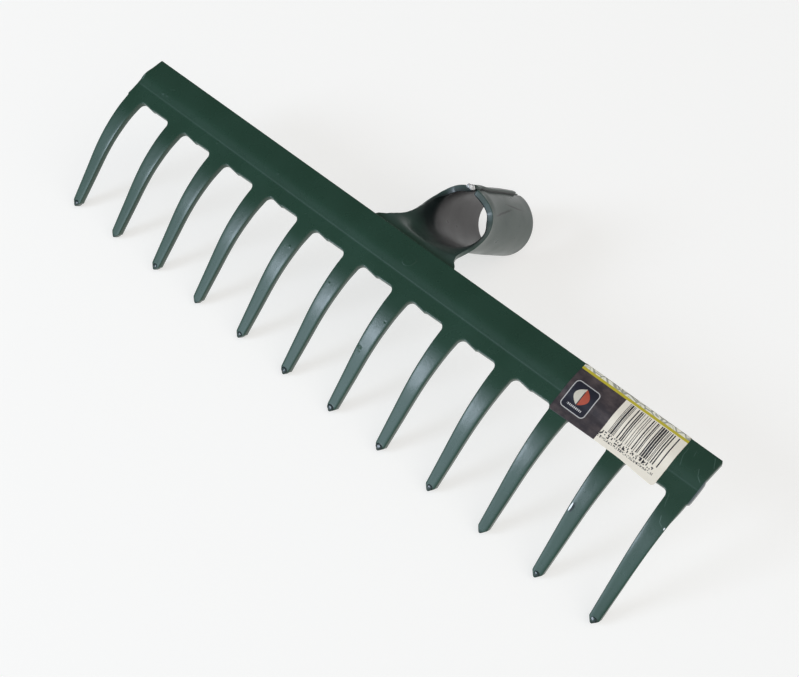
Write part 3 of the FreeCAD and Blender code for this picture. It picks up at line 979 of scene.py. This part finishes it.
def badge(nodes, x, w, ground):
    """Rounded badge with a rim, a plain leaf and a row of dashes, laid over the panel's colour."""
    outside = nodes.join(nodes.beyond(x, BADGE_X, 4.2), nodes.beyond(w, BADGE_W, 4.75))
    reach = nodes.vector("LENGTH", outside)
    colour = nodes.mix(nodes.ramp(reach, 1.85, 1.95, 1.0, 0.0), ground, BADGE_FIELD)
    colour = nodes.mix(nodes.within(reach, 1.65, 2.05), colour, BADGE_RIM)
    colour = leaf(nodes, x, w, colour)
    cell = nodes.math("FRACT", nodes.math("DIVIDE", nodes.math("SUBTRACT", x, BADGE_X), 0.8))
    dashes = nodes.both(nodes.math("LESS_THAN", cell, 0.6), nodes.within(x, BADGE_X - 3.6, BADGE_X + 3.6),
                        nodes.within(w, BADGE_W - 4.7, BADGE_W - 3.8))
    return nodes.mix(dashes, colour, BADGE_DASHES)


def dark_panel(nodes, x, w):
    """Colour of the dark panel: a worn grain with the badge on it."""
    place = nodes.join(nodes.math("MULTIPLY", x, 0.6), w)
    grain = nodes.ramp(nodes.noise(0.22, 5.0, 0.6, where=place), 0.40, 0.72)
    return badge(nodes, x, w, nodes.mix(grain, PANEL_DARK, PANEL_WORN))


def label_material():
    """Coated paper: printed in flat millimetres, x along the bar and w from the label's front edge."""
    nodes = new_material("label_paper")
    x, w, _ = nodes.split(nodes.flat())
    colour = nodes.mix(nodes.noise(900.0, 3.0), PAPER_DARK, PAPER_LIGHT)
    figures = specks(nodes, x, w, CODE_LEFT - 2.6, CODE_RIGHT - 1.0, 3.0, 5.1, 1.95, 0.53)
    words = specks(nodes, x, w, CODE_LEFT - 3.6, CODE_RIGHT, 1.6, 2.7, 1.15, 0.48)
    for mark in (bar_code(nodes, x, w), figures, words):
        colour = nodes.mix(mark, colour, INK)
    on_strip = nodes.within(w, STRIPE_W, 60.0)
    colour = nodes.mix(on_strip, colour, ornament_strip(nodes, x, w))
    on_panel = nodes.both(nodes.ramp(x, PANEL_RIGHT - 0.06, PANEL_RIGHT + 0.06, 1.0, 0.0),
                          nodes.ramp(w, STRIPE_W - 0.1, STRIPE_W, 1.0, 0.0))
    colour = nodes.mix(on_panel, colour, dark_panel(nodes, x, w))
    on_stripe = nodes.within(w, STRIPE_W - STRIPE_WIDTH, STRIPE_W)
    colour = nodes.mix(on_stripe, colour, STRIPE_YELLOW)
    nodes.set(Base_Color=colour, Roughness=nodes.ramp(nodes.noise(500.0), 0.3, 0.7, 0.34, 0.46))
    nodes.bump(nodes.noise(260.0, 4.0), 0.10, 0.0006)
    return nodes.owner


def specks(nodes, x, w, left, right, front, back, pitch, density):
    """Mask of a row of made-up characters, one every pitch: random strokes with gaps between them."""
    stroke_x = nodes.math("DIVIDE", nodes.math("SUBTRACT", x, left), pitch / 4)
    stroke_w = nodes.math("DIVIDE", nodes.math("SUBTRACT", w, front), (back - front) / 4)
    filled = nodes.math("GREATER_THAN", nodes.chance(stroke_x, stroke_w), density)
    place = nodes.math("FRACT", nodes.math("DIVIDE", stroke_x, 4.0))
    return nodes.both(filled, nodes.math("LESS_THAN", place, 0.74), nodes.within(x, left, right, 0.05),
                      nodes.within(w, front, back, 0.05))


def leaf(nodes, x, w, ground):
    """Plain two-tone leaf on the badge."""
    side = nodes.math("SUBTRACT", x, BADGE_X)
    along = nodes.math("SUBTRACT", w, BADGE_W + 1.0)
    taper = nodes.math("MULTIPLY", nodes.math("MULTIPLY", along, along), 0.22)
    width = nodes.math("SUBTRACT", 3.6, taper)
    blade = nodes.ramp(nodes.math("SUBTRACT", nodes.math("ABSOLUTE", side), width), -0.1, 0.1, 1.0, 0.0)
    tone = nodes.mix(nodes.ramp(side, -0.08, 0.08), LEAF_PALE, LEAF_RED)
    ground = nodes.mix(blade, ground, tone)
    vein = nodes.both(nodes.within(side, -0.2, 0.2), nodes.within(along, -4.6, 2.6))
    return nodes.mix(vein, ground, LEAF_VEIN)


def floor_material():
    """Pale table that glows a little, as a sheet lit from all round does, so that shadows stay light."""
    nodes = new_material("table_top")
    nodes.set(Base_Color=(0.452, 0.442, 0.429, 1), Roughness=0.6, Specular_IOR_Level=0.15,
              Emission_Color=(1.0, 0.993, 0.980, 1), Emission_Strength=0.615)
    return nodes.owner


# ---- pieces ----
def add_head(paint):
    """The pressing: the bar and all twelve tines in one skin."""
    loop = rounded_loop(head_outline(), 0.9)
    head = pressed_sheet("pressed_head", paint, loop, head_lattice(), head_shape,
                         (0.0, -HEAD_SHEET), HEAD_ROUND)
    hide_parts("head_bar", *[f"tine_{index + 1:02d}" for index in range(TINES)])


def add_socket(paint):
    """The rolled tube and its flared neck in one skin."""
    loop = smoothed(rounded_loop(socket_outline(), 0.7))
    socket = pressed_sheet("rolled_socket", paint, loop, socket_lattice(), socket_shape,
                           (SOCKET_SHEET / 2, -SOCKET_SHEET / 2), SOCKET_ROUND, swell=rim_swell)
    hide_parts("socket_tube", "socket_neck")


def add_label(paper):
    """The paper label, wrapped round the bar."""
    loop = rounded_loop(label_outline(), 1.2)
    label = pressed_sheet("printed_label", paper, loop, label_lattice(), label_shape,
                          LABEL_LEVELS, LABEL_ROUND, rings=1, hold=LABEL_BORDER)
    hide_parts("paper_label")


def add_throat_weld(metal):
    """The bare blob that closes the socket's seam at its throat."""
    axes = np.array([across, socket_back, socket_up])
    bead = blob("throat_weld", metal, MOUTH + THROAT_WELD @ axes, axes, THROAT_WELD_SIZES, 0.4, 5)
    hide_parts("seam_weld")


def add_drops(paint):
    """Drops of paint at the tips; they replace nothing."""
    for number, (drop_x, drop_half) in enumerate(PAINT_DROPS, start=1):
        place = np.array([drop_x, DROP_Y, face_height(DROP_Y) - 0.12])
        sizes = (drop_half * 1.8, drop_half * 1.5, drop_half * 0.5)
        drop = blob(f"paint_drop_{number}", paint, place, np.eye(3), sizes, 0.12, number)


head_paint = head_material()
socket_paint = socket_material()
add_head(head_paint)
add_socket(socket_paint)
add_label(label_material())
add_spot_weld(head_paint)
add_throat_weld(metal_material())
add_bar_weld(socket_paint)
add_drops(drop_material())


# ---- stage, light and camera ----
# Lobes of the sky: azimuth, elevation, inner and outer radius in degrees, colour, strength.
SKY_LOBES = [(-158, 22, 5, 44, (0.80, 1.0, 1.16), 1.17),
             (-157, 8, 4, 15.5, (0.81, 1.0, 1.17), 1.9),
             (95, 42, 15, 64, (1.0, 0.975, 0.945), 0.95)]
SKY_BASE = (0.12, 0.122, 0.12)

CAMERA_PLACE = Vector((0.2680, -0.3391, 0.5001))
CAMERA_TARGET = Vector((0.0231, -0.0383, 0.0300))
CAMERA_ROLL = math.radians(5.0)
CAMERA_LENS = 61.74
CAMERA_SENSOR = 36.0


def add_table():
    """The pale table, which is part of the stage and not of the object."""
    bpy.ops.mesh.primitive_plane_add(size=60.0, location=(0, 0, 0))
    table = bpy.context.object
    table.name = "table"
    table.data.materials.append(floor_material())


def direction(azimuth, elevation):
    """Unit vector towards a place in the sky; azimuth is in degrees from +Y towards +X."""
    az, el = math.radians(azimuth), math.radians(elevation)
    return math.sin(az) * math.cos(el), math.cos(az) * math.cos(el), math.sin(el)


def soft_box(name, azimuth, elevation, distance, size, power, colour):
    """Rectangular area light aimed at the rake."""
    data = bpy.data.lights.new(name, "AREA")
    data.shape = "RECTANGLE"
    data.size, data.size_y = size
    data.energy = power
    data.color = colour
    lamp = bpy.data.objects.new(name, data)
    bpy.context.scene.collection.objects.link(lamp)
    lamp.location = Vector(direction(azimuth, elevation)) * distance
    lamp.rotation_euler = lamp.location.to_track_quat("Z", "Y").to_euler()


def lobe_light(nodes, way, azimuth, elevation, inner, outer, colour, strength):
    """Light of one soft round lobe of the sky; way is the direction looked in."""
    nearness = nodes.vector("DOT_PRODUCT", way, direction(azimuth, elevation))
    fade = nodes.add("ShaderNodeMapRange", Value=nearness, From_Min=math.cos(math.radians(outer)),
                     From_Max=math.cos(math.radians(inner)))
    fade.interpolation_type = "SMOOTHSTEP"
    return nodes.vector("MULTIPLY", fade.outputs["Result"], [channel * strength for channel in colour])


def add_sky():
    """World light: a faint even base and the soft lobes over it."""
    bpy.context.scene.world = bpy.data.worlds.new("studio")
    nodes = Nodes(bpy.context.scene.world, "Background")
    way = nodes.add("ShaderNodeTexCoord").outputs["Generated"]
    total = SKY_BASE
    for lobe in SKY_LOBES:
        total = nodes.vector("ADD", lobe_light(nodes, way, *lobe), total)
    nodes.set(Color=total)


def add_camera():
    """The camera, rolled a little as a hand-held one is."""
    data = bpy.data.cameras.new("camera")
    data.lens = CAMERA_LENS
    data.sensor_width = CAMERA_SENSOR
    camera = bpy.data.objects.new("camera", data)
    bpy.context.scene.collection.objects.link(camera)
    aim = (CAMERA_PLACE - CAMERA_TARGET).to_track_quat("Z", "Y").to_matrix().to_4x4()
    camera.matrix_world = Matrix.Translation(CAMERA_PLACE) @ aim @ Matrix.Rotation(CAMERA_ROLL, 4, "Z")
    bpy.context.scene.camera = camera


add_table()
soft_box("window", -153.5, 31, 2.0, (0.60, 0.66), 12.0, (0.86, 0.97, 1.14))
add_sky()
add_camera()
bpy.context.scene.view_settings.view_transform = "Standard"
